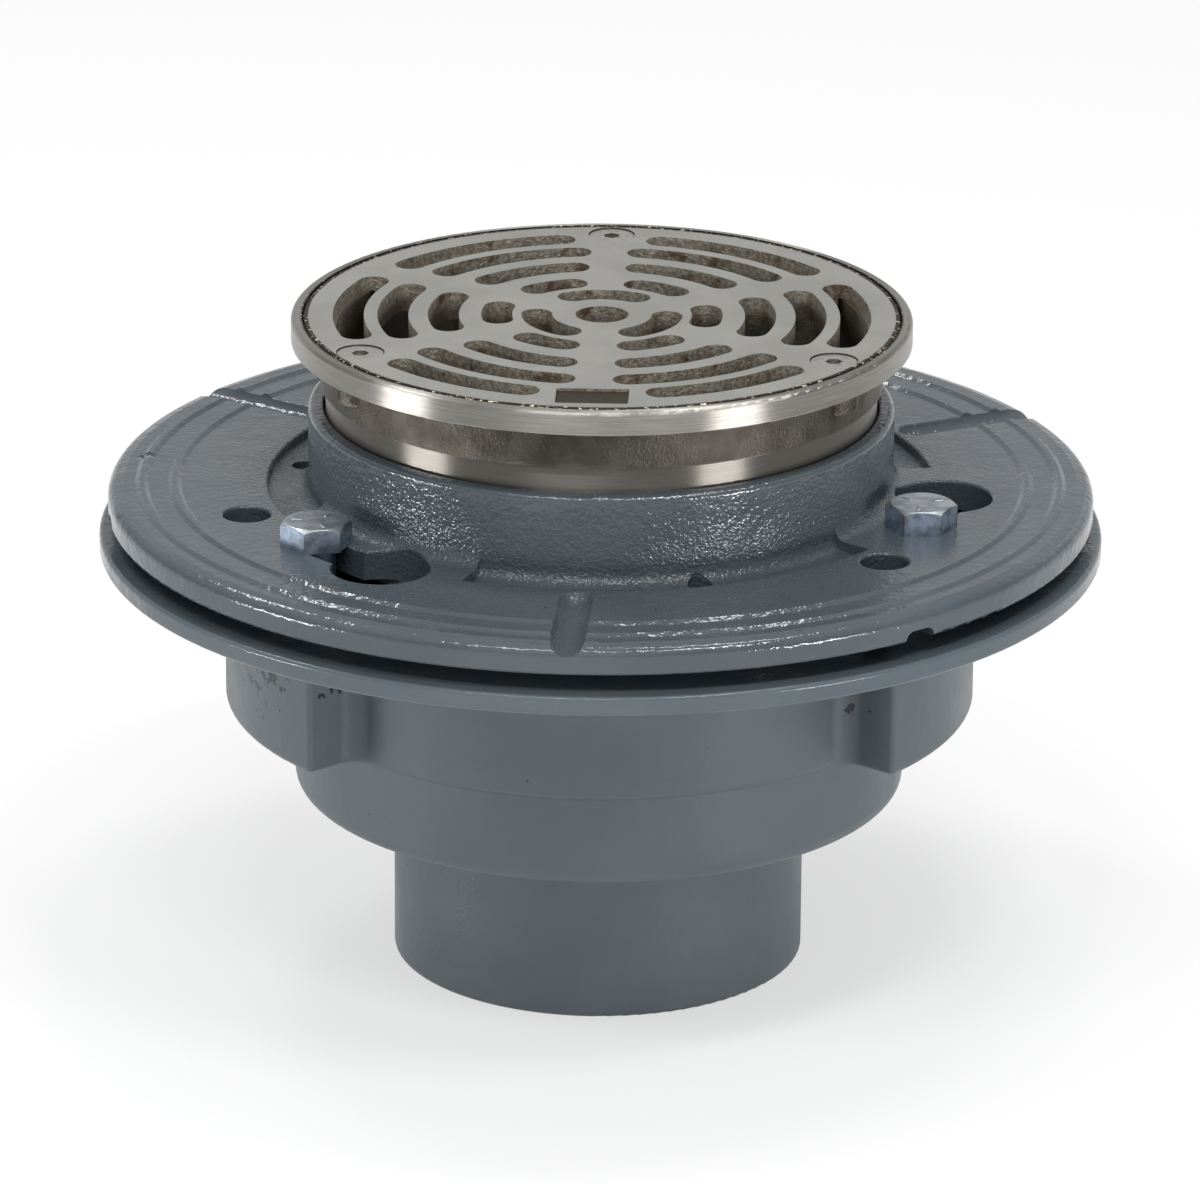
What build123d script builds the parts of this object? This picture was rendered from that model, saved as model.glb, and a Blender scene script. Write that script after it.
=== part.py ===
from build123d import *
from math import asin, degrees, hypot, radians, tan
import os

# Area floor drain: a cast-iron body with a flange and a plain outlet, a reversible clamping
# collar held by three hex bolts, and a nickel-bronze strainer head that screws into the
# collar's throat and carries a round grate under three countersunk screws.
# Millimetres, +Z up. The origin is the centre of the outlet's open end.
# Angles are in degrees, anticlockwise from +X when seen from above.

# Outlet and sump of the body
outlet_od = 85.1
outlet_length = 37.1
outlet_wall = 4.5
outlet_edge = 1.0
lower_tier_height = 18.9
upper_tier_height = 32.6
bolt_to_tier = 6.0
tier_step = 1.7
tier_round = 1.4
sump_wall = 6.0
sump_floor = 6.5
floor_fall = 3.0
sump_base_round = 3.0
sump_floor_round = 5.0
outlet_root_round = 2.5

# Body flange
flange_margin = 1.9
flange_thickness = 4.0
flange_round = 0.9
bowl_edge = 1.2

# Lugs under the body flange: the two wide side lugs by their first and last angle,
# the back lug by its half width on either side of the bolt that it holds
right_lug_start, right_lug_end = -40.0, 40.5
left_lug_start, left_lug_end = 139.5, 221.0
back_lug_half_span = 18.5
lug_cover = 6.6
lug_corner_round = 1.0
lug_root_round = 4.5

# Clamping collar
bolt_to_rim = 30.4
collar_gap = 3.7
collar_edge_height = 5.3
collar_edge_round = 2.2
collar_underside_round = 0.8
collar_crown = 0.8
crown_setback = 3.2
land_setback = 13.2
land_width = 8.0
throat_wall = 3.25
throat_height = 16.5
throat_lip_round = 1.3
throat_mouth_round = 0.7
throat_root_round = 3.0
throat_skirt_drop = 1.7
throat_skirt_width = 4.6

# Two raised rings on the collar, by their distance in from its rim
outer_bead_setback = 7.0
inner_bead_setback = 13.7
bead_height = 0.6
bead_width = 2.8
bead_crest = 1.0

# Pockets round the throat, weep holes, grooves on top and channels below: three of each
pocket_width = 8.4
pocket_depth = 2.0
pocket_start = 6.5
pocket_span = 75.0
weep_hole_diameter = 5.0
weep_hole_offset = 2.7
weep_hole_angle = 48.5
hole_rim_round = 0.6
groove_width = 6.8
groove_depth = 2.2
groove_setback = 1.2
groove_angle = 26.3
channel_width = 7.2
channel_depth = 2.2
channel_round = 2.0
channel_angle = 68.6

# Keyholes and the spare round holes
bolt_angle = 96.3
keyhole_turn = 15.5
keyhole_big_diameter = 19.8
keyhole_to_throat = 0.8
bolt_slot_clearance = 1.1
spare_hole_diameter = 9.6
spare_hole_setout = 4.9
spare_hole_angle = 78.6

# Clamp bolts, with the way each hex head happens to stand
bolt_diameter = 7.94
bolt_length = 25.4
bolt_head_across_flats = 12.7
bolt_head_height = 5.0
bolt_head_chamfer_angle = 30.0
bolt_head_chamfer_width = 0.19
bolt_end_chamfer = 0.8
bolt_turns = [20.0, 12.3, 0.9]
tapped_hole_clearance = 0.15
tapped_hole_run_out = 3.0

# Strainer head
thread_od = 113.0
thread_clearance = 0.35
shank_length = 35.8
shank_wall = 2.9
shank_end_chamfer = 1.0
shoulder_gap = 4.9
neck_step = 1.1
neck_draft = 0.4
neck_height = 9.1
rim_overhang = 7.0
rim_height = 4.8
rim_lip = 2.2
rim_round = 0.9
screw_boss_diameter = 10.0
screw_boss_drop = 5.9
screw_boss_round = 1.5

# Grate
head_turn = -2.0
grate_clearance = 0.3
grate_edge_thickness = 3.0
grate_thickness = 5.9
grate_edge_chamfer = 0.3
grate_plug_clearance = 0.4
slot_width = 6.35
slot_web = 7.4
screw_web = 14.8
label_web = 21.0
centre_hole_diameter = 10.9
label_setback = 8.1
label_height = 9.2
label_width = 14.5
label_depth = 0.6
label_corner = 0.6

# Radii of the five rings of slots as shares of the grate's own
inner_ring_share = 0.218
middle_ring_shares = [0.3525, 0.5311, 0.7]
outer_ring_share = 0.8492

# Grate screws
screw_setout = 1.4
screw_diameter = 4.83
screw_head_diameter = 9.3
screw_cone_angle = 82.0
screw_length = 9.0
screw_socket_across_flats = 3.1
screw_socket_depth = 1.6
screw_turns = [30.0, 0.0, 0.0]
countersink_diameter = 9.8
screw_hole_clearance = 0.2
screw_seat_clearance = 0.05

# Bolts, keyholes, pockets, grooves and grate screws all come in threes
fold = 3

# Radii and levels that follow: the strainer's thread sets the throat, the bolts stand clear
# of the throat, and the sump, the lugs and the collar's rim are set from the bolts
shank_radius = thread_od / 2
throat_bore_radius = shank_radius + thread_clearance
throat_radius = throat_bore_radius + throat_wall
bolt_circle_radius = throat_radius + keyhole_to_throat + keyhole_big_diameter / 2
outlet_radius = outlet_od / 2
bore_radius = outlet_radius - outlet_wall
tier_radius = bolt_circle_radius - bolt_to_tier
sump_radius = tier_radius - tier_step
bowl_radius = tier_radius - sump_wall
shelf_z = outlet_length + lower_tier_height
flange_bottom_z = shelf_z + upper_tier_height
flange_top_z = flange_bottom_z + flange_thickness
lug_radius = bolt_circle_radius + lug_cover

collar_radius = bolt_circle_radius + bolt_to_rim
flange_radius = collar_radius + flange_margin
collar_bottom_z = flange_top_z + collar_gap
collar_edge_z = collar_bottom_z + collar_edge_height
collar_top_z = collar_edge_z + collar_crown
crown_radius = collar_radius - crown_setback
land_outer_radius = collar_radius - land_setback
land_inner_radius = land_outer_radius - land_width
throat_top_z = collar_top_z + throat_height
throat_skirt_radius = throat_bore_radius + throat_skirt_width
throat_skirt_z = collar_bottom_z - throat_skirt_drop
pocket_radius = throat_radius + pocket_width
pocket_floor_z = collar_top_z - pocket_depth
bridge_radius = throat_bore_radius + throat_wall / 2
bridge_span = 360 / fold - pocket_span
spare_hole_radius = bolt_circle_radius + spare_hole_setout

shoulder_z = throat_top_z + shoulder_gap
shank_bottom_z = shoulder_z - shank_length
shank_bore_radius = shank_radius - shank_wall
neck_radius = shank_radius + neck_step
rim_bottom_z = shoulder_z + neck_height
rim_top_z = rim_bottom_z + rim_height
rim_radius = shank_radius + rim_overhang
recess_radius = rim_radius - rim_lip
ledge_z = rim_top_z - grate_edge_thickness
boss_bottom_z = rim_bottom_z - screw_boss_drop
grate_radius = recess_radius - grate_clearance
grate_plug_radius = shank_bore_radius - grate_plug_clearance
grate_bottom_z = rim_top_z - grate_thickness
outer_slot_ring = outer_ring_share * grate_radius
inner_slot_ring = inner_ring_share * grate_radius
label_radius = grate_radius - label_setback
screw_circle_radius = shank_bore_radius + screw_setout
screw_angle = 90 + head_turn
label_angle = 270 + head_turn
cone_slope = tan(radians(screw_cone_angle / 2))
screw_top_z = (
    rim_top_z
    - (countersink_diameter - screw_head_diameter) / 2 / cone_slope
    + screw_seat_clearance
)

# How far a cutting shape runs past the surface that it opens
overrun = 2.0


def sector(radius, first_angle, last_angle):
    """A pie slice about the origin between two angles."""
    rim = CenterArc((0, 0), radius, first_angle, last_angle - first_angle)
    return make_face([rim, Line(rim @ 1, (0, 0)), Line((0, 0), rim @ 0)])


def slot_end_angle(web, ring_radius):
    """Turn from the middle of a web to the centre of the slot's round end beside it."""
    return degrees(asin((web + slot_width) / 2 / ring_radius))


# Body: the upper tier and the lugs are one outline, so their corners blend as in the casting
lug_sectors = [
    sector(lug_radius, right_lug_start, right_lug_end),
    sector(lug_radius, bolt_angle - back_lug_half_span, bolt_angle + back_lug_half_span),
    sector(lug_radius, left_lug_start, left_lug_end),
]

with BuildPart() as lug_tier:
    with BuildSketch(Plane.XY.offset(shelf_z)) as lug_outline:
        Circle(tier_radius)
        add(lug_sectors)
        corners = lug_outline.vertices().sort_by(lambda corner: hypot(corner.X, corner.Y))
        half = len(corners) // 2
        fillet(corners[:half], lug_root_round)
        outer_corners = lug_outline.vertices().filter_by(
            lambda corner: hypot(corner.X, corner.Y) > lug_radius - lug_corner_round / 2
        )
        fillet(outer_corners, lug_corner_round)
    extrude(amount=upper_tier_height)
    fillet(lug_tier.faces().sort_by(Axis.Z)[0].outer_wire().edges(), tier_round)

with BuildPart() as drain_body:
    with BuildSketch(Plane.XZ):
        with BuildLine():
            FilletPolyline(
                (0, 0),
                (outlet_radius, 0),
                (outlet_radius, outlet_length),
                (sump_radius, outlet_length),
                (sump_radius, shelf_z + tier_round),
                (0, shelf_z + tier_round),
                radius=[0, outlet_edge, outlet_root_round, sump_base_round, 0, 0],
                close=True,
            )
        make_face()
        with BuildLine():
            FilletPolyline(
                (0, flange_bottom_z),
                (flange_radius, flange_bottom_z),
                (flange_radius, flange_top_z),
                (0, flange_top_z),
                radius=[0, flange_round, flange_round, 0],
                close=True,
            )
        make_face()
    revolve(axis=Axis.Z)
    add(lug_tier.part)
    with BuildSketch(Plane.XZ):
        with BuildLine():
            FilletPolyline(
                (0, -overrun),
                (bore_radius, -overrun),
                (bore_radius, outlet_length + sump_floor),
                (bowl_radius, outlet_length + sump_floor + floor_fall),
                (bowl_radius, flange_top_z - bowl_edge),
                (bowl_radius + bowl_edge, flange_top_z),
                (bowl_radius + bowl_edge, flange_top_z + overrun),
                (0, flange_top_z + overrun),
                radius=[0, 0, outlet_edge, sump_floor_round, 0, 0, 0, 0],
                close=True,
            )
        make_face()
    revolve(axis=Axis.Z, mode=Mode.SUBTRACT)
    with BuildSketch(Plane.XY.offset(flange_top_z)):
        with PolarLocations(bolt_circle_radius, fold, start_angle=bolt_angle):
            Circle(bolt_diameter / 2 + tapped_hole_clearance)
    extrude(
        amount=collar_top_z - flange_top_z - bolt_length - tapped_hole_run_out,
        mode=Mode.SUBTRACT,
    )
drain_body.part.label = "drain_body"


# Collar: the pocket runs all round the throat, and three bridges close it where the bolts sit
with BuildPart() as pocket_bridge:
    with BuildSketch(Plane.XZ):
        with BuildLine():
            FilletPolyline(
                (bridge_radius, collar_bottom_z),
                (pocket_radius + overrun, collar_bottom_z),
                (pocket_radius + overrun, collar_top_z),
                (throat_radius, collar_top_z),
                (throat_radius, collar_top_z + throat_height / 2),
                (bridge_radius, collar_top_z + throat_height / 2),
                radius=[0, 0, 0, throat_root_round, 0, 0],
                close=True,
            )
        make_face()
    revolve(axis=Axis.Z, revolution_arc=bridge_span)

# A groove is the shape left by a round-nosed cutter that runs out past the rim
groove_cutter_radius = ((groove_width / 2) ** 2 + groove_depth**2) / (2 * groove_depth)
groove_start = pocket_radius + groove_setback + groove_width / 2
with BuildPart() as groove_cutter:
    with BuildSketch(Plane.YZ.offset(groove_start)):
        with Locations((0, collar_top_z - groove_depth + groove_cutter_radius)):
            Circle(groove_cutter_radius)
    extrude(amount=collar_radius - groove_start + overrun)
    with Locations((groove_start, 0, collar_top_z - groove_depth + groove_cutter_radius)):
        Sphere(groove_cutter_radius)

with BuildPart() as channel_cutter:
    with BuildSketch(Plane.YZ.offset(pocket_radius)):
        with BuildLine():
            FilletPolyline(
                (-channel_width / 2, flange_top_z - overrun),
                (channel_width / 2, flange_top_z - overrun),
                (channel_width / 2, collar_bottom_z + channel_depth),
                (-channel_width / 2, collar_bottom_z + channel_depth),
                radius=[0, 0, channel_round, channel_round],
                close=True,
            )
        make_face()
    extrude(amount=collar_radius - pocket_radius + overrun)

with BuildPart() as clamping_collar:
    with BuildSketch(Plane.XZ):
        with BuildLine():
            FilletPolyline(
                (throat_bore_radius, throat_skirt_z),
                (throat_skirt_radius, throat_skirt_z),
                (throat_skirt_radius, collar_bottom_z),
                (land_inner_radius, collar_bottom_z),
                (land_inner_radius, flange_top_z),
                (land_outer_radius, flange_top_z),
                (land_outer_radius, collar_bottom_z),
                (collar_radius, collar_bottom_z),
                (collar_radius, collar_edge_z),
                (crown_radius, collar_top_z),
                (pocket_radius, collar_top_z),
                (pocket_radius, pocket_floor_z),
                (throat_radius, pocket_floor_z),
                (throat_radius, throat_top_z),
                (throat_bore_radius, throat_top_z),
                radius=[
                    *(0, 0, 0, 0, 0, 0, 0),
                    *(collar_underside_round, collar_edge_round, 0, 0, 0),
                    *(throat_root_round, throat_lip_round, throat_mouth_round),
                ],
                close=True,
            )
        make_face()
        for setback in (outer_bead_setback, inner_bead_setback):
            with Locations((collar_radius - setback, collar_top_z)):
                Trapezoid(
                    bead_width,
                    bead_height,
                    degrees(asin(bead_height / hypot(bead_height, (bead_width - bead_crest) / 2))),
                    align=(Align.CENTER, Align.MIN),
                )
    revolve(axis=Axis.Z)
    with PolarLocations(0, fold, start_angle=pocket_start + pocket_span):
        add(pocket_bridge.part)
    with PolarLocations(0, fold, start_angle=groove_angle):
        add(groove_cutter.part, mode=Mode.SUBTRACT)
    with PolarLocations(0, fold, start_angle=channel_angle):
        add(channel_cutter.part, mode=Mode.SUBTRACT)
    # Keyholes: the big end lets a bolt head pass, the slot runs back under the seated head
    with BuildSketch(Plane.XY.offset(flange_top_z)):
        with PolarLocations(bolt_circle_radius, fold, start_angle=bolt_angle + keyhole_turn):
            Circle(keyhole_big_diameter / 2)
        with PolarLocations(0, fold, start_angle=bolt_angle):
            SlotArc(
                Edge.make_circle(bolt_circle_radius, start_angle=0, end_angle=keyhole_turn),
                bolt_diameter + bolt_slot_clearance,
            )
        with PolarLocations(spare_hole_radius, fold, start_angle=spare_hole_angle):
            Circle(spare_hole_diameter / 2)
        with PolarLocations(throat_radius + weep_hole_offset, fold, start_angle=weep_hole_angle):
            Circle(weep_hole_diameter / 2)
    extrude(amount=collar_top_z - flange_top_z + throat_root_round, mode=Mode.SUBTRACT)
    # The upper rims of the holes, the pockets and the grooves' blind ends are rounded
    root_radius = throat_radius + throat_root_round
    hole_rims = clamping_collar.edges().filter_by(GeomType.CIRCLE).filter_by(
        lambda edge: abs(edge.center().Z - collar_top_z) < hole_rim_round / 2
        and edge.radius < land_inner_radius
        and abs(edge.radius - root_radius) > hole_rim_round
    )
    fillet(hole_rims, hole_rim_round)
clamping_collar.part.label = "clamping_collar"


# Clamp bolt: hex head with its seat at the level of the collar's top, shank pointing down
chamfer_start = bolt_head_across_flats / 2 - bolt_head_chamfer_width
with BuildPart() as clamp_bolt:
    with BuildSketch(Plane.XY.offset(collar_top_z)):
        RegularPolygon(bolt_head_across_flats / 2, 6, major_radius=False)
    extrude(amount=bolt_head_height)
    with BuildSketch(Plane.XZ):
        with BuildLine():
            Polyline(
                (chamfer_start, collar_top_z + bolt_head_height),
                (chamfer_start + overrun, collar_top_z + bolt_head_height),
                (
                    chamfer_start + overrun,
                    collar_top_z
                    + bolt_head_height
                    - overrun * tan(radians(bolt_head_chamfer_angle)),
                ),
                close=True,
            )
        make_face()
    revolve(axis=Axis.Z, mode=Mode.SUBTRACT)
    with BuildSketch(Plane.XY.offset(collar_top_z)):
        Circle(bolt_diameter / 2)
    extrude(amount=-bolt_length)
    chamfer(clamp_bolt.edges().sort_by(Axis.Z)[0], bolt_end_chamfer)


# Strainer head: turned rim, neck and threaded shank with three cast bosses for the screws
with BuildPart() as screw_boss:
    with BuildSketch(Plane.XY.offset(boss_bottom_z)):
        Circle(screw_boss_diameter / 2)
    extrude(amount=ledge_z - boss_bottom_z)
    fillet(screw_boss.edges().sort_by(Axis.Z)[0], screw_boss_round)

with BuildPart() as strainer_head:
    with BuildSketch(Plane.XZ):
        with BuildLine():
            FilletPolyline(
                (shank_bore_radius, shank_bottom_z),
                (shank_radius - shank_end_chamfer, shank_bottom_z),
                (shank_radius, shank_bottom_z + shank_end_chamfer),
                (shank_radius, shoulder_z),
                (neck_radius, shoulder_z),
                (neck_radius + neck_draft, rim_bottom_z),
                (rim_radius, rim_bottom_z),
                (rim_radius, rim_top_z),
                (recess_radius, rim_top_z),
                (recess_radius, ledge_z),
                (shank_bore_radius, ledge_z),
                radius=[0, 0, 0, 0, 0, 0, 0, rim_round, 0, 0, 0],
                close=True,
            )
        make_face()
    revolve(axis=Axis.Z)
    with PolarLocations(screw_circle_radius, fold, start_angle=screw_angle):
        add(screw_boss.part)
    with BuildSketch(Plane.XY.offset(boss_bottom_z)):
        with PolarLocations(screw_circle_radius, fold, start_angle=screw_angle):
            Circle(screw_diameter / 2 + tapped_hole_clearance)
    extrude(amount=ledge_z - boss_bottom_z, mode=Mode.SUBTRACT)
strainer_head.part.label = "strainer_head"


# Grate: a thin edge that lies on the ledge and a thicker slotted plug inside the shank
even_end = 360 / (2 * fold)
outer_webs = [label_web, screw_web, slot_web, screw_web, slot_web, screw_web]
outer_step = 360 / len(outer_webs)

with BuildPart() as grate:
    with BuildSketch(Plane.XY.offset(ledge_z)):
        Circle(grate_radius)
    extrude(amount=grate_edge_thickness)
    chamfer(grate.edges().sort_by(Axis.Z)[-1], grate_edge_chamfer)
    with BuildSketch(Plane.XY.offset(grate_bottom_z)):
        Circle(grate_plug_radius)
        with PolarLocations(screw_circle_radius, fold, start_angle=screw_angle):
            Circle(screw_boss_diameter / 2 + grate_plug_clearance, mode=Mode.SUBTRACT)
    extrude(amount=grate_thickness - grate_edge_thickness)
    with BuildSketch(Plane.XY.offset(grate_bottom_z)):
        Circle(centre_hole_diameter / 2)
        inner_end = slot_end_angle(slot_web, inner_slot_ring)
        with PolarLocations(0, fold, start_angle=label_angle):
            SlotArc(
                Edge.make_circle(
                    inner_slot_ring, start_angle=inner_end, end_angle=360 / fold - inner_end
                ),
                slot_width,
            )
        for share in middle_ring_shares:
            ring_radius = share * grate_radius
            ring_end = slot_end_angle(slot_web, ring_radius)
            with PolarLocations(0, 2 * fold, start_angle=label_angle):
                SlotArc(
                    Edge.make_circle(
                        ring_radius, start_angle=ring_end, end_angle=even_end - ring_end
                    ),
                    slot_width,
                )
        for index, web in enumerate(outer_webs):
            next_web = outer_webs[(index + 1) % len(outer_webs)]
            web_angle = label_angle + index * outer_step
            SlotArc(
                Edge.make_circle(
                    outer_slot_ring,
                    start_angle=web_angle + slot_end_angle(web, outer_slot_ring),
                    end_angle=web_angle + outer_step - slot_end_angle(next_web, outer_slot_ring),
                ),
                slot_width,
            )
    extrude(amount=grate_thickness, mode=Mode.SUBTRACT)
    with Locations(Plane.XY.offset(rim_top_z)):
        with PolarLocations(screw_circle_radius, fold, start_angle=screw_angle):
            CounterSinkHole(
                screw_diameter / 2 + screw_hole_clearance,
                countersink_diameter / 2,
                depth=grate_thickness,
                counter_sink_angle=screw_cone_angle,
            )
    # The label recess is left bare
    with BuildSketch(Plane.XY.offset(rim_top_z)):
        with PolarLocations(label_radius, 1, start_angle=label_angle):
            RectangleRounded(label_height, label_width, label_corner)
    extrude(amount=-label_depth, mode=Mode.SUBTRACT)
grate.part.label = "grate"


# Grate screw: flat head with a hex socket
with BuildPart() as grate_screw:
    with BuildSketch(Plane.XZ):
        with BuildLine():
            Polyline(
                (0, screw_top_z),
                (screw_head_diameter / 2, screw_top_z),
                (
                    screw_diameter / 2,
                    screw_top_z - (screw_head_diameter - screw_diameter) / 2 / cone_slope,
                ),
                (screw_diameter / 2, screw_top_z - screw_length),
                (0, screw_top_z - screw_length),
                close=True,
            )
        make_face()
    revolve(axis=Axis.Z)
    with BuildSketch(Plane.XY.offset(screw_top_z)):
        RegularPolygon(screw_socket_across_flats / 2, 6, major_radius=False)
    extrude(amount=-screw_socket_depth, mode=Mode.SUBTRACT)


def place_copies(piece, name, circle_radius, first_angle, turns):
    """One labelled copy of a fastener at each place on its circle, each turned its own way."""
    places = PolarLocations(circle_radius, fold, start_angle=first_angle, rotate=False)
    for number, (place, turn) in enumerate(zip(places, turns), 1):
        copy = place * Rot(0, 0, turn) * piece
        copy.label = f"{name}_{number}"
        export_step(copy, f"parts/{copy.label}.step")


os.makedirs("parts", exist_ok=True)
for built in (drain_body, clamping_collar, strainer_head, grate):
    export_step(built.part, f"parts/{built.part.label}.step")
place_copies(clamp_bolt.part, "clamp_bolt", bolt_circle_radius, bolt_angle, bolt_turns)
place_copies(grate_screw.part, "grate_screw", screw_circle_radius, screw_angle, screw_turns)
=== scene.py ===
import bpy
import math
import numpy as np
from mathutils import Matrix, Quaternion, Vector


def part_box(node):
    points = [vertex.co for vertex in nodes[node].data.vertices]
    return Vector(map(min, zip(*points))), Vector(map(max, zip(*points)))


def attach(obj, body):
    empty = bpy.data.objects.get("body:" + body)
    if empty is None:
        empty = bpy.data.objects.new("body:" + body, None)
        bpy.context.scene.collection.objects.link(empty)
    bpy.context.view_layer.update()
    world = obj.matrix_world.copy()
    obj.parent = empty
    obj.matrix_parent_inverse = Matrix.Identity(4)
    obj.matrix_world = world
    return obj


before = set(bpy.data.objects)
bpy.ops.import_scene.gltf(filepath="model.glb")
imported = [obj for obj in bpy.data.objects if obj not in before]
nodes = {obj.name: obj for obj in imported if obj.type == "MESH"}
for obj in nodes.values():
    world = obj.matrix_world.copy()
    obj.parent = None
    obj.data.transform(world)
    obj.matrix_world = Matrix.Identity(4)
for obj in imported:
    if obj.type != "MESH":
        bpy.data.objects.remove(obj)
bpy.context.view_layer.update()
mm = 0.001
print("frame loaded:", len(nodes), "nodes")


# small helpers for meshes and shader trees

def gridMesh(name, points, closeAround=False):
    # points is a rows x columns x 3 array; neighbours on the grid become the corners of quads
    rows, columns = points.shape[:2]
    index = np.arange(rows * columns).reshape(rows, columns)
    if closeAround:
        index = np.hstack([index, index[:, :1]])
    quads = np.stack([index[:-1, :-1], index[:-1, 1:], index[1:, 1:], index[1:, :-1]], axis=-1)
    mesh = bpy.data.meshes.new(name)
    mesh.from_pydata(points.reshape(-1, 3).tolist(), [], quads.reshape(-1, 4).tolist())
    mesh.polygons.foreach_set("use_smooth", np.ones(len(mesh.polygons), bool))
    mesh.update()
    piece = bpy.data.objects.new(name, mesh)
    bpy.context.scene.collection.objects.link(piece)
    return piece


def newMaterial(name):
    material = bpy.data.materials.new(name)
    material.use_nodes = True
    return material, material.node_tree, material.node_tree.nodes["Principled BSDF"]


def feed(tree, socket, value):
    # a socket takes either another socket or a plain value
    if isinstance(value, bpy.types.NodeSocket):
        tree.links.new(value, socket)
    else:
        socket.default_value = value


def add(tree, kind, inputs=(), **settings):
    # a new shader node; inputs maps a socket's name or number to what it takes
    made = tree.nodes.new(kind)
    for key, value in settings.items():
        setattr(made, key, value)
    for key, value in dict(inputs).items():
        feed(tree, made.inputs[key], value)
    return made


def maths(tree, operation, *values):
    return add(tree, "ShaderNodeMath", dict(enumerate(values)), operation=operation).outputs[0]


def ramp(tree, value, low, high, fromValue=0.0, toValue=1.0):
    # value between low and high becomes fromValue to toValue, eased and clamped
    limits = {"Value": value, "From Min": low, "From Max": high, "To Min": fromValue, "To Max": toValue}
    return add(tree, "ShaderNodeMapRange", limits, interpolation_type="SMOOTHSTEP").outputs[0]


def blendColours(tree, amount, first, second):
    made = add(tree, "ShaderNodeMix", data_type="RGBA")
    for number, value in ((0, amount), (6, first), (7, second)):
        feed(tree, made.inputs[number], value)
    return made.outputs[2]


def metres(lengths):
    return [length * mm for length in lengths]


def coordinates(tree, name):
    # "Object" is the spot on the piece, "Normal" the way that its face looks
    return add(tree, "ShaderNodeTexCoord").outputs[name]


def axesOf(tree, vector):
    return add(tree, "ShaderNodeSeparateXYZ", {"Vector": vector}).outputs


def facingUp(tree):
    # 1 on a face that looks straight up, 0 on an upright one
    return axesOf(tree, coordinates(tree, "Normal"))["Z"]


def noise(tree, place, grain, detail=2.0, roughness=0.5):
    # grain is the size of one lump in millimetres
    return add(tree, "ShaderNodeTexNoise", {
        "Vector": place, "Scale": 1.0 / (grain * mm), "Detail": detail, "Roughness": roughness,
    }).outputs["Fac"]


def specks(tree, place, spacing, size, share):
    # round dots about size across on a grid of cells spacing apart; share of the cells hold one
    cells = add(tree, "ShaderNodeTexVoronoi", {"Vector": place, "Scale": 1.0 / (spacing * mm)})
    radius = size / spacing / 2
    dot = ramp(tree, cells.outputs["Distance"], radius * 0.5, radius, 1.0, 0.0)
    pick = add(tree, "ShaderNodeSeparateColor", {"Color": cells.outputs["Color"]}).outputs[0]
    return maths(tree, "MULTIPLY", dot, maths(tree, "LESS_THAN", pick, share))


def bump(tree, height, depth, below=None):
    # depth in millimetres is how far a height of 1 stands out
    inputs = {"Height": height, "Distance": depth * mm, "Strength": 1.0}
    if below is not None:
        inputs["Normal"] = below
    return add(tree, "ShaderNodeBump", inputs).outputs[0]


def colour(red, green, blue):
    # a colour as the eye reads it, 0 to 255, as the shader's linear light
    parts = [(c / 255 / 12.92) if c <= 10 else ((c / 255 + 0.055) / 1.055) ** 2.4
             for c in (red, green, blue)]
    return (*parts, 1.0)


def distanceTo(tree, place, point):
    # how far a spot of the surface is from a point given in millimetres
    return add(tree, "ShaderNodeVectorMath", {0: place, 1: metres(point)},
               operation="DISTANCE").outputs["Value"]


def distanceFromAxis(tree, axes):
    squares = [maths(tree, "MULTIPLY", axes[k], axes[k]) for k in ("X", "Y")]
    return maths(tree, "SQRT", maths(tree, "ADD", *squares))


# epoxy coating on the two iron castings; grains, depths, places and sizes are in millimetres

epoxy = {
    "paintThick": colour(34, 39, 43),
    "pitShade": colour(26, 28, 30),
    "rust": colour(92, 64, 50),
    "pepper": colour(96, 84, 74),
    "patchGrain": 26.0,
    "peelGrain": 1.7,
    "peelDepth": 0.15,
    "lumpGrain": 12.0,
    "lumpDepth": 0.35,
    "sandGrain": 0.7,
    "sandDepth": 0.34,
    "runGrain": 3.4,
    "runEdge": (0.785, 0.80),
    "runGloss": 0.6,
    "dentDepth": 0.9,
    # dots: spacing, size, share of the cells that hold one; each coat has its own share of pits
    "pits": (3.6, 0.8),
    "pitCover": 0.8,
    "rustCover": 0.7,
    "rustDots": (11.0, 1.1, 0.04),
    "pepperDots": (1.3, 0.55, 0.16),
}

# each casting: how glossy it is, how much peel and sand show, and where single flaws are
bodyCoat = {
    "paint": colour(79, 88, 94),
    "paintThin": colour(85, 93, 98),
    "roughness": (0.36, 0.50),
    "specular": 0.32,
    "peelShare": 0.35,
    # above this height, on the flange, the coating is as glossy and as peeled as on the collar
    "glossFrom": (85.0, 88.4),
    "glossRoughness": 0.14,
    "sandShare": 0.06,
    "pitShare": 0.03,
    "pepperShare": 0.15,
    # places with islands of thick dark coating: centre, reach, strength
    "runs": [
        ((-75.0, -34.0, 80.0), 28.0, 0.29),
        ((-52.0, -43.0, 76.0), 11.0, 0.29),
        ((52.0, -41.0, 70.0), 9.0, 0.25),
        ((-6.0, -62.0, 87.0), 7.0, 0.27),
        ((8.0, -62.0, 87.0), 6.0, 0.27),
        ((74.0, -31.0, 78.0), 12.0, 0.24),
    ],
    "roughPatchGrain": 18.0,
}
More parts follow.
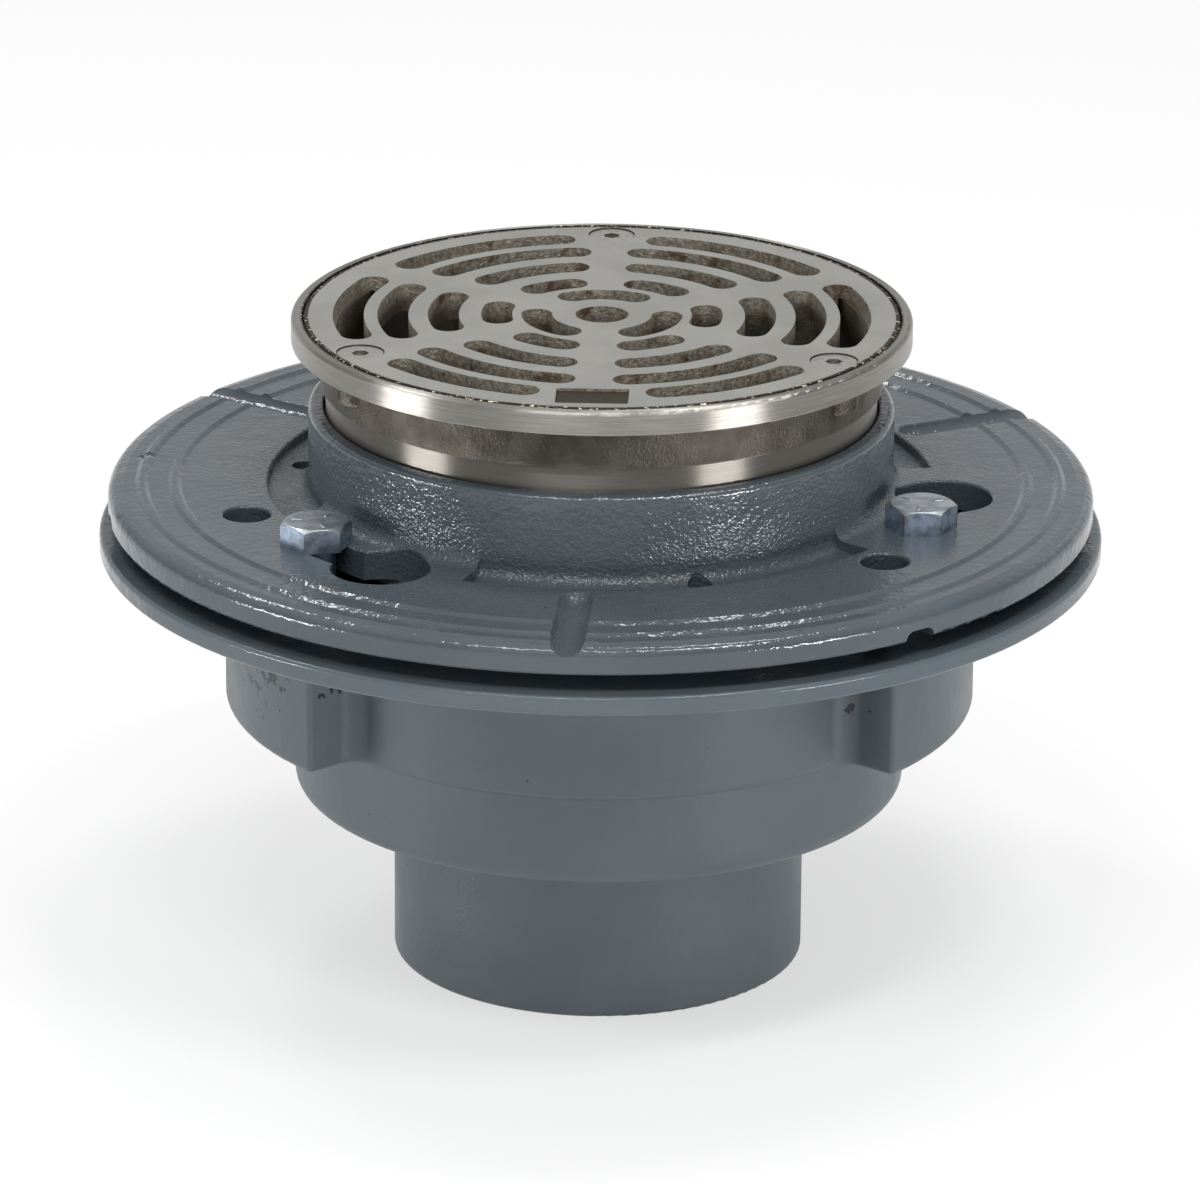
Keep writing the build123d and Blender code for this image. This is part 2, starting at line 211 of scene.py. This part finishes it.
collarCoat = {
    "paint": colour(69, 77, 83),
    "paintThin": colour(75, 82, 87),
    "roughness": (0.09, 0.17),
    "specular": 0.5,
    "peelShare": 1.0,
    "sandShare": 0.10,
    "pitShare": 0.05,
    "pepperShare": 0.5,
    "dent": ((-94.0, 11.0, 103.0), 2.1),
    # sand starts over the first two radii and fades over the next two
    "sandFrom": (59.0, 60.0),
    "sandFade": (70.0, 80.0),
    # between these heights it thins to this share, on the throat's foot and again on its wall
    "foot": (106.0, 114.0),
    "footShare": 0.5,
    "wall": (115.0, 118.0),
    "wallShare": 0.35,
    "roughPatchGrain": 15.0,
}


def paintedIron(name, coat, sandZone):
    # sandZone gives the mask of the rough places from the tree, the place and its coordinates
    material, tree, shader = newMaterial(name)
    place = coordinates(tree, "Object")
    axes = axesOf(tree, place)
    patches = noise(tree, place, epoxy["patchGrain"], 3.0)
    lumps = noise(tree, place, epoxy["lumpGrain"], 3.0, 0.5)
    peel = noise(tree, place, epoxy["peelGrain"], 2.0, 0.55)
    sand = noise(tree, place, epoxy["sandGrain"], 1.5, 0.6)
    base = blendColours(tree, ramp(tree, patches, 0.35, 0.7), coat["paint"], coat["paintThin"])
    gloss = ramp(tree, patches, 0.3, 0.7, *coat["roughness"])
    if "runs" in coat:
        islands = noise(tree, place, epoxy["runGrain"], 4.0, 0.6)
        for point, reach, strength in coat["runs"]:
            away = distanceTo(tree, place, point)
            near = ramp(tree, away, 0.3 * reach * mm, reach * mm, strength, 0.0)
            islands = maths(tree, "ADD", islands, near)
        thick = ramp(tree, islands, *epoxy["runEdge"])
        base = blendColours(tree, thick, base, epoxy["paintThick"])
        gloss = maths(tree, "MULTIPLY", gloss, ramp(tree, thick, 0.0, 1.0, 1.0, epoxy["runGloss"]))
    peelShare = coat["peelShare"]
    if "glossFrom" in coat:
        glossy = ramp(tree, axes["Z"], *metres(coat["glossFrom"]))
        gloss = maths(tree, "MINIMUM", gloss, ramp(tree, glossy, 0.0, 1.0, 1.0, coat["glossRoughness"]))
        peelShare = ramp(tree, glossy, 0.0, 1.0, coat["peelShare"], 1.0)
    # each kind of dot: its mask, how much it covers, its colour
    for dots, cover, tone in (
            (specks(tree, place, *epoxy["pits"], coat["pitShare"]), epoxy["pitCover"], epoxy["pitShade"]),
            (specks(tree, place, *epoxy["rustDots"]), epoxy["rustCover"], epoxy["rust"]),
            (specks(tree, place, *epoxy["pepperDots"]), coat["pepperShare"], epoxy["pepper"])):
        base = blendColours(tree, maths(tree, "MULTIPLY", dots, cover), base, tone)
    rough = maths(tree, "MULTIPLY", sandZone(tree, place, axes), 1.0 - coat["sandShare"])
    depth = maths(tree, "ADD", coat["sandShare"], rough)
    surface = bump(tree, lumps, epoxy["lumpDepth"])
    surface = bump(tree, maths(tree, "MULTIPLY", peel, peelShare), epoxy["peelDepth"], surface)
    surface = bump(tree, maths(tree, "MULTIPLY", sand, depth), epoxy["sandDepth"], surface)
    if "dent" in coat:
        point, size = coat["dent"]
        hollow = ramp(tree, distanceTo(tree, place, point), 0.3 * size * mm, size * mm)
        surface = bump(tree, hollow, epoxy["dentDepth"], surface)
        base = blendColours(tree, hollow, epoxy["pitShade"], base)
    tree.links.new(base, shader.inputs["Base Color"])
    tree.links.new(gloss, shader.inputs["Roughness"])
    tree.links.new(surface, shader.inputs["Normal"])
    shader.inputs["Specular IOR Level"].default_value = coat["specular"]
    return material


def bodySand(tree, place, axes):
    # rough patches here and there
    return ramp(tree, noise(tree, place, bodyCoat["roughPatchGrain"], 2.0), 0.55, 0.8, 0.0, 0.6)


def collarSand(tree, place, axes):
    # sand shows in the pockets, round the foot of the throat and, finer, on its wall
    radius = distanceFromAxis(tree, axes)
    outside = ramp(tree, radius, *metres(collarCoat["sandFrom"]))
    foot = maths(tree, "MULTIPLY", ramp(tree, radius, *metres(collarCoat["sandFade"]), 1.0, 0.0),
                 ramp(tree, axes["Z"], *metres(collarCoat["foot"]), 1.0, collarCoat["footShare"]))
    wall = ramp(tree, axes["Z"], *metres(collarCoat["wall"]), 1.0, collarCoat["wallShare"])
    patches = ramp(tree, noise(tree, place, collarCoat["roughPatchGrain"], 2.0), 0.35, 0.55, 0.55, 1.0)
    return maths(tree, "MULTIPLY", maths(tree, "MULTIPLY", foot, outside),
                 maths(tree, "MULTIPLY", patches, wall))


nodes["drain_body"].data.materials[0] = paintedIron("epoxyOnBody", bodyCoat, bodySand)
nodes["clamping_collar"].data.materials[0] = paintedIron("epoxyOnCollar", collarCoat, collarSand)
print("epoxy coating on the castings")


# nickel bronze of the strainer head and its grate; heights and radii are in millimetres

bronze = {
    "castRoughness": 0.58,
    "sandGrain": 0.6,
    "sandDepth": 0.26,
    # the gap between the rim and the grate, painted dark with bright specks, a painted shade and painted
    # highlights: its two radii, its grain and its colours
    "gap": (60.0, 61.6),
    "gapGrain": 1.0,
    "paintedGapShade": colour(44, 40, 36),
    "paintedGapGlint": colour(226, 214, 186),
    "blur": 0.1,
}

headFinish = {
    "turned": colour(168, 165, 159),
    "turnedDull": colour(151, 148, 142),
    # painted shade for the turned metal below the neck
    "shoulderShade": colour(114, 109, 102),
    "cast": colour(140, 134, 124),
    "castDark": colour(116, 110, 102),
    "turnedRoughness": 0.35,
    "anisotropy": 1.0,
    # inside the bore and on the neck the metal is as it was cast
    "bore": (54.2, 54.4),
    "neck": (123.9, 132.85),
    "blotchGrain": 7.0,
    # lathe lines: grain, depth, and how much of the grain runs round the axis
    "lines": (0.30, 0.004, 0.03),
}

grateFinish = {
    "satin": colour(180, 179, 174),
    "satinDull": colour(170, 169, 164),
    "satinGrain": 16.0,
    "satinRoughness": 0.46,
    # fine scratches on the face: grain and depth
    "scratches": (0.35, 0.008),
    # slot walls as cast, stained here and there, with a painted shade that darkens them further down
    "sandLight": colour(218, 211, 198),
    "sandDark": colour(168, 159, 146),
    "paintedSlotShade": colour(112, 100, 86),
    "slotGrain": 1.0,
    "slotDepth": (133.0, 136.6),
    "stain": colour(116, 78, 54),
    "stainGrain": 6.0,
    # the label's floor lies between these heights
    "label": colour(70, 62, 54),
    "labelFloor": (137.0, 137.3),
    # the painted shade round a screw's head ends between these distances from its middle
    "shadedCone": (5.0, 5.2),
}


def paintedGapMask(tree, radius):
    # the band on both sides of the gap between the rim and the grate, which takes a painted shade and
    # painted highlights
    low, high = metres(bronze["gap"])
    blur = bronze["blur"] * mm
    return maths(tree, "MULTIPLY", ramp(tree, radius, low - blur, low + blur),
                 ramp(tree, radius, high - blur, high + blur, 1.0, 0.0))


# a dark painted shade in the gap, broken by bright painted highlights
def paintedGapTone(tree, place):
    paintedGlintMask = ramp(tree, noise(tree, place, bronze["gapGrain"], 2.0, 0.6), 0.60, 0.64)
    return blendColours(tree, paintedGlintMask, bronze["paintedGapShade"], bronze["paintedGapGlint"])


def castAndCut(tree, shader, cast, cut, sand, grain, depth, cutRoughness):
    # rough sand where the mask cast is 1, fine marks of the tool where the mask cut is 1
    spread = bronze["castRoughness"] - cutRoughness
    tree.links.new(maths(tree, "MULTIPLY_ADD", cast, spread, cutRoughness), shader.inputs["Roughness"])
    shader.inputs["Metallic"].default_value = 1.0
    surface = bump(tree, maths(tree, "MULTIPLY", sand, cast), bronze["sandDepth"])
    surface = bump(tree, maths(tree, "MULTIPLY", grain, cut), depth, surface)
    tree.links.new(surface, shader.inputs["Normal"])


def bronzeHead(name):
    material, tree, shader = newMaterial(name)
    place = coordinates(tree, "Object")
    axes = axesOf(tree, place)
    height = axes["Z"]
    radius = distanceFromAxis(tree, axes)
    low, high = metres(headFinish["neck"])
    blur = bronze["blur"] * mm
    outside = ramp(tree, radius, *metres(headFinish["bore"]))
    neck = maths(tree, "MULTIPLY", ramp(tree, height, low - blur, low + blur),
                 ramp(tree, height, high, high + blur, 1.0, 0.0))
    inside = maths(tree, "SUBTRACT", 1.0, outside)
    cast = maths(tree, "MAXIMUM", neck, inside)
    turned = maths(tree, "SUBTRACT", 1.0, cast)
    sand = noise(tree, place, bronze["sandGrain"], 3.0, 0.65)
    blotches = noise(tree, place, headFinish["blotchGrain"], 3.0, 0.6)
    # lathe lines: noise that hardly changes round the axis and quickly along the cut
    lineGrain, lineDepth, aroundShare = headFinish["lines"]
    drawn = add(tree, "ShaderNodeCombineXYZ", {
        "X": maths(tree, "MULTIPLY", axes["X"], aroundShare),
        "Y": maths(tree, "MULTIPLY", axes["Y"], aroundShare),
        "Z": maths(tree, "ADD", radius, height)}).outputs[0]
    lines = noise(tree, drawn, lineGrain, 3.0, 0.7)
    castTone = blendColours(tree, ramp(tree, blotches, 0.35, 0.65),
                            headFinish["castDark"], headFinish["cast"])
    turnedTone = blendColours(tree, ramp(tree, lines, 0.35, 0.65),
                              headFinish["turnedDull"], headFinish["turned"])
    # painted shade: below the neck, under the rim, the turned metal is darkened
    shadeBelowNeck = ramp(tree, height, low - blur, low, 0.7, 0.0)
    turnedTone = blendColours(tree, shadeBelowNeck, turnedTone, headFinish["shoulderShade"])
    tone = blendColours(tree, cast, turnedTone, castTone)
    # painted shade and painted highlights in the gap round the grate
    tone = blendColours(tree, paintedGapMask(tree, radius), tone, paintedGapTone(tree, place))
    tree.links.new(tone, shader.inputs["Base Color"])
    castAndCut(tree, shader, cast, turned, sand, lines, lineDepth, headFinish["turnedRoughness"])
    # the highlight of a turned face is drawn out along the axis
    shader.inputs["Anisotropic"].default_value = headFinish["anisotropy"]
    shader.inputs["Anisotropic Rotation"].default_value = 0.25
    aroundAxis = add(tree, "ShaderNodeTangent", direction_type="RADIAL", axis="Z")
    tree.links.new(aroundAxis.outputs[0], shader.inputs["Tangent"])
    return material


def bronzeGrate(name):
    material, tree, shader = newMaterial(name)
    place = coordinates(tree, "Object")
    axes = axesOf(tree, place)
    height = axes["Z"]
    up = facingUp(tree)
    floorLow, floorHigh = metres(grateFinish["labelFloor"])
    label = maths(tree, "MULTIPLY", maths(tree, "GREATER_THAN", height, floorLow),
                  maths(tree, "LESS_THAN", height, floorHigh))
    label = maths(tree, "MULTIPLY", ramp(tree, up, 0.90, 0.97), label)
    machined = maths(tree, "SUBTRACT", ramp(tree, up, 0.35, 0.6), label)
    cast = maths(tree, "SUBTRACT", 1.0, machined)
    sand = noise(tree, place, bronze["sandGrain"], 3.0, 0.65)
    # slot walls: light and dark sand, stains, and a painted shade further down
    grains = ramp(tree, noise(tree, place, grateFinish["slotGrain"], 3.0, 0.7), 0.36, 0.64)
    stains = ramp(tree, noise(tree, place, grateFinish["stainGrain"], 3.0, 0.6), 0.54, 0.68, 0.0, 0.7)
    slotShade = ramp(tree, height, *metres(grateFinish["slotDepth"]), 0.9, 0.0)
    castTone = blendColours(tree, grains, grateFinish["sandDark"], grateFinish["sandLight"])
    castTone = blendColours(tree, stains, castTone, grateFinish["stain"])
    castTone = blendColours(tree, slotShade, castTone, grateFinish["paintedSlotShade"])
    castTone = blendColours(tree, label, castTone, grateFinish["label"])
    clouds = ramp(tree, noise(tree, place, grateFinish["satinGrain"], 3.0), 0.35, 0.65)
    satinTone = blendColours(tree, clouds, grateFinish["satin"], grateFinish["satinDull"])
    tone = blendColours(tree, cast, satinTone, castTone)
    # painted shade on the sloping countersinks round the screw heads
    for number in (1, 2, 3):
        low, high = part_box(f"grate_screw_{number}")
        middle = [(low[k] + high[k]) / 2 / mm for k in (0, 1)] + [high[2] / mm]
        shadedCone = ramp(tree, distanceTo(tree, place, middle), *metres(grateFinish["shadedCone"]), 1.0, 0.0)
        shadedCone = maths(tree, "MULTIPLY", shadedCone, ramp(tree, up, 0.75, 0.9, 1.0, 0.0))
        tone = blendColours(tree, shadedCone, tone, bronze["paintedGapShade"])
    # painted shade and painted highlights in the gap round the grate
    tone = blendColours(tree, paintedGapMask(tree, distanceFromAxis(tree, axes)), tone, paintedGapTone(tree, place))
    tree.links.new(tone, shader.inputs["Base Color"])
    scratchGrain, scratchDepth = grateFinish["scratches"]
    scratches = noise(tree, place, scratchGrain, 2.0, 0.6)
    castAndCut(tree, shader, cast, machined, sand, scratches, scratchDepth, grateFinish["satinRoughness"])
    return material


nodes["strainer_head"].data.materials[0] = bronzeHead("nickelBronzeHead")
nodes["grate"].data.materials[0] = bronzeGrate("nickelBronzeGrate")
print("nickel bronze on the strainer")


# plated bolts and stainless screws; roughness is for the top and for the sides

fasteners = {
    "zinc": {
        "bright": colour(188, 193, 198),
        "dull": colour(148, 154, 160),
        # a painted sheen: the upright faces are brighter and bluer than the top
        "sides": colour(204, 219, 242),
        "roughness": (0.42, 0.36),
        "grain": 0.9,
        "depth": 0.03,
    },
    "stainless": {
        "bright": colour(186, 185, 180),
        "dull": colour(170, 169, 164),
        "sides": colour(186, 185, 180),
        "roughness": (0.38, 0.38),
        "grain": 0.4,
        "depth": 0.01,
    },
}


def fastenerMetal(name, metal):
    material, tree, shader = newMaterial(name)
    topFrom = (0.5, 0.9)  # between these a face goes over from a side to the top
    place = coordinates(tree, "Object")
    up = facingUp(tree)
    top = ramp(tree, up, *topFrom)
    clouds = ramp(tree, noise(tree, place, metal["grain"] * 4, 3.0, 0.6), 0.35, 0.65)
    topTone = blendColours(tree, clouds, metal["bright"], metal["dull"])
    # painted sheen: upright faces take their own colour, brighter and bluer on the zinc
    sheenedSideTone = blendColours(tree, clouds, metal["sides"], metal["dull"])
    topRoughness, sideRoughness = metal["roughness"]
    tree.links.new(blendColours(tree, top, sheenedSideTone, topTone), shader.inputs["Base Color"])
    tree.links.new(ramp(tree, up, *topFrom, sideRoughness, topRoughness), shader.inputs["Roughness"])
    shader.inputs["Metallic"].default_value = 1.0
    surface = bump(tree, noise(tree, place, metal["grain"], 2.0, 0.6), metal["depth"])
    tree.links.new(surface, shader.inputs["Normal"])
    return material


zincPlate = fastenerMetal("zincOnBolts", fasteners["zinc"])
stainless = fastenerMetal("stainlessScrews", fasteners["stainless"])
for number in (1, 2, 3):
    nodes[f"clamp_bolt_{number}"].data.materials[0] = zincPlate
    nodes[f"grate_screw_{number}"].data.materials[0] = stainless
print("zinc and stainless fasteners")


# grade marks on the bolt heads: three short radial bars a third of a turn apart

gradeMarks = {
    "innerRadius": 2.6 * mm,
    "outerRadius": 4.9 * mm,
    "halfWidth": 0.38 * mm,
    "height": 0.18 * mm,
    "sink": 0.01 * mm,
    "steps": (17, 9),
    "firstAngles": (38.0, 52.0, 20.0),
}


def gradeBars(name, boltName, firstAngle):
    # across the bar the height is the root of a half cosine, and it falls to nothing at both ends:
    # h(s, t) = height * cos(pi t / 2) ^ 0.5 * (1 - s ^ 8), s along and t across, from -1 to 1
    low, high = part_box(boltName)
    middle = (np.array(low) + np.array(high)) / 2
    alongSteps, acrossSteps = gradeMarks["steps"]
    s, t = np.meshgrid(np.linspace(-1, 1, alongSteps), np.linspace(-1, 1, acrossSteps), indexing="ij")
    inner, outer = gradeMarks["innerRadius"], gradeMarks["outerRadius"]
    along = (inner + outer) / 2 + s * (outer - inner) / 2
    across = t * gradeMarks["halfWidth"]
    rise = gradeMarks["height"] * np.sqrt(np.clip(np.cos(math.pi * t / 2), 0, 1)) * (1 - s ** 8)
    z = high[2] - gradeMarks["sink"] + rise
    for third in range(3):
        angle = math.radians(firstAngle + 120 * third)
        x = middle[0] + along * math.cos(angle) - across * math.sin(angle)
        y = middle[1] + along * math.sin(angle) + across * math.cos(angle)
        bar = gridMesh(f"{name}_{third + 1}", np.stack([x, y, z], axis=-1))
        bar.data.materials.append(zincPlate)
        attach(bar, "drain")


for number, firstAngle in enumerate(gradeMarks["firstAngles"], 1):
    gradeBars(f"grade_mark_{number}", f"clamp_bolt_{number}", firstAngle)
print("grade marks on the bolts")


# thread on the shank of the strainer head

headThread = {
    "pitch": 3.175 * mm,
    "ridge": 0.29 * mm,
    "sink": 0.03 * mm,
    "top": 119.0 * mm,
    "bottomInset": 1.4 * mm,
    "radius": 56.5 * mm,
    "stepsAround": 240,
    "stepsPerPitch": 10,
}


def threadSurface(name, shape, bottom):
    # r(a, z) = radius - sink + (ridge + sink) * w, where w is a triangle wave of z / pitch - a / 2 pi,
    # so that the crest climbs one pitch in each turn, and w fades to 0 over the first and last pitch
    pitch, top = shape["pitch"], shape["top"]
    rows = int((top - bottom) / pitch * shape["stepsPerPitch"])
    angles = np.linspace(0, 2 * math.pi, shape["stepsAround"], endpoint=False)
    z, a = np.meshgrid(np.linspace(bottom, top, rows), angles, indexing="ij")
    phase = (z - bottom) / pitch - a / (2 * math.pi)
    wave = 1 - np.abs(2 * (phase - np.floor(phase)) - 1)
    fade = np.clip((z - bottom) / pitch, 0, 1) * np.clip((top - z) / pitch, 0, 1)
    radius = shape["radius"] - shape["sink"] + (shape["ridge"] + shape["sink"]) * wave * fade
    return gridMesh(name, np.stack([radius * np.cos(a), radius * np.sin(a), z], axis=-1), closeAround=True)


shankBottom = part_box("strainer_head")[0][2]
thread = threadSurface("head_thread", headThread, shankBottom + headThread["bottomInset"])
thread.data.materials.append(nodes["strainer_head"].data.materials[0])
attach(thread, "strainer")
print("thread on the shank")


# floor, light and camera; lengths in metres, angles in degrees

studio = {
    "floorColour": (0.93, 0.93, 0.925, 1.0),
    "floorReach": 12.0,
    "floorRoughness": 0.9,
    "floorSpecular": 0.1,
    "floorGlow": 0.6,
    "horizon": (0.11, 0.115, 0.12, 1.0),
    "zenith": (0.80, 0.805, 0.81, 1.0),
    "backdrop": (0.62, 0.62, 0.62, 1.0),
    "skyline": (0.80, 0.80, 0.795, 1.0),
    "cameraDistance": 1.691,
    "cameraElevation": 19.81,
    "aimHeight": 0.0757,
    "lens": 245.4,
    "sensor": 36.0,
    "roll": 0.4,
    # each softbox: azimuth from the viewer, elevation, distance, width and height, power, turn
    "boxes": {
        "topLeft": (-130, 56, 1.3, (0.28, 0.14), 2.7, 0),
        "topRight": (128, 76, 1.3, (0.44, 0.10), 2.8, 52),
        "lowLeft": (-74, -1, 1.5, (0.50, 0.10), 9.4, 0),
        "lowRight": (49, -1, 1.5, (0.50, 0.10), 9.4, 0),
        "highFront": (33, 60, 1.3, (0.40, 0.09), 4.2, 0),
        "highLeft": (-18, 54, 1.3, (0.56, 0.08), 4.0, 0),
        "front": (-8, 27, 2.0, (1.3, 0.6), 1.9, 0),
    },
}


def softbox(name, azimuth, elevation, distance, size, power, turn):
    lamp = bpy.data.lights.new(name, "AREA")
    lamp.shape = "RECTANGLE"
    (lamp.size, lamp.size_y), lamp.energy = size, power
    holder = bpy.data.objects.new(name, lamp)
    a, e = math.radians(azimuth), math.radians(elevation)
    away = Vector((math.sin(a) * math.cos(e), -math.cos(a) * math.cos(e), math.sin(e)))
    holder.location = Vector((0, 0, studio["aimHeight"])) + distance * away
    facing = Quaternion(away, math.radians(turn)) @ away.to_track_quat("Z", "Y")
    holder.rotation_euler = facing.to_euler()
    holder.visible_camera = False
    bpy.context.scene.collection.objects.link(holder)


def studioFloor():
    mesh = bpy.data.meshes.new("floor")
    reach = studio["floorReach"]
    mesh.from_pydata([(-reach, -reach, 0), (reach, -reach, 0), (reach, reach, 0), (-reach, reach, 0)],
                     [], [(0, 1, 2, 3)])
    floor = bpy.data.objects.new("floor", mesh)
    bpy.context.scene.collection.objects.link(floor)
    material, tree, shader = newMaterial("paleFloor")
    shader.inputs["Base Color"].default_value = studio["floorColour"]
    shader.inputs["Roughness"].default_value = studio["floorRoughness"]
    shader.inputs["Specular IOR Level"].default_value = studio["floorSpecular"]
    # the floor glows towards the camera and in reflections, and lights nothing
    light = add(tree, "ShaderNodeLightPath").outputs
    seen = maths(tree, "MAXIMUM", light["Is Camera Ray"],
                 maths(tree, "MAXIMUM", light["Is Glossy Ray"], light["Is Transmission Ray"]))
    glow = add(tree, "ShaderNodeEmission", {"Color": (1, 1, 1, 1), "Strength": 1.0})
    blend = add(tree, "ShaderNodeMixShader", {
        0: maths(tree, "MULTIPLY", seen, studio["floorGlow"]),
        1: shader.outputs[0], 2: glow.outputs[0]})
    tree.links.new(blend.outputs[0], tree.nodes["Material Output"].inputs["Surface"])
    mesh.materials.append(material)


def studioWorld():
    # dark low down, paler overhead, with a pale backdrop behind the drain
    world = bpy.data.worlds.new("studio")
    bpy.context.scene.world = world
    world.use_nodes = True
    tree = world.node_tree
    axes = axesOf(tree, coordinates(tree, "Generated"))
    up = axes["Z"]
    sky = blendColours(tree, ramp(tree, up, 0.2, 0.95), studio["horizon"], studio["zenith"])
    behind = maths(tree, "MULTIPLY", ramp(tree, axes["Y"], 0.5, 0.85), ramp(tree, up, 0.5, 0.75, 1.0, 0.0))
    sky = blendColours(tree, behind, sky, studio["backdrop"])
    # a pale band at the horizon goes on from the floor's far edge
    sky = blendColours(tree, ramp(tree, up, 0.09, 0.16, 1.0, 0.0), sky, studio["skyline"])
    tree.links.new(sky, tree.nodes["Background"].inputs["Color"])


def studioCamera():
    lens = bpy.data.cameras.new("camera")
    lens.lens, lens.sensor_width = studio["lens"], studio["sensor"]
    holder = bpy.data.objects.new("camera", lens)
    tilt = math.radians(studio["cameraElevation"])
    aim = Vector((0, 0, studio["aimHeight"]))
    holder.location = aim + studio["cameraDistance"] * Vector((0, -math.cos(tilt), math.sin(tilt)))
    holder.rotation_euler = (aim - holder.location).to_track_quat("-Z", "Y").to_euler()
    holder.rotation_euler.rotate_axis("Z", math.radians(studio["roll"]))
    bpy.context.scene.collection.objects.link(holder)
    bpy.context.scene.camera = holder


studioFloor()
studioWorld()
studioCamera()
for name, settings in studio["boxes"].items():
    softbox(name, *settings)
bpy.context.scene.view_settings.view_transform = "Standard"
print("studio set")
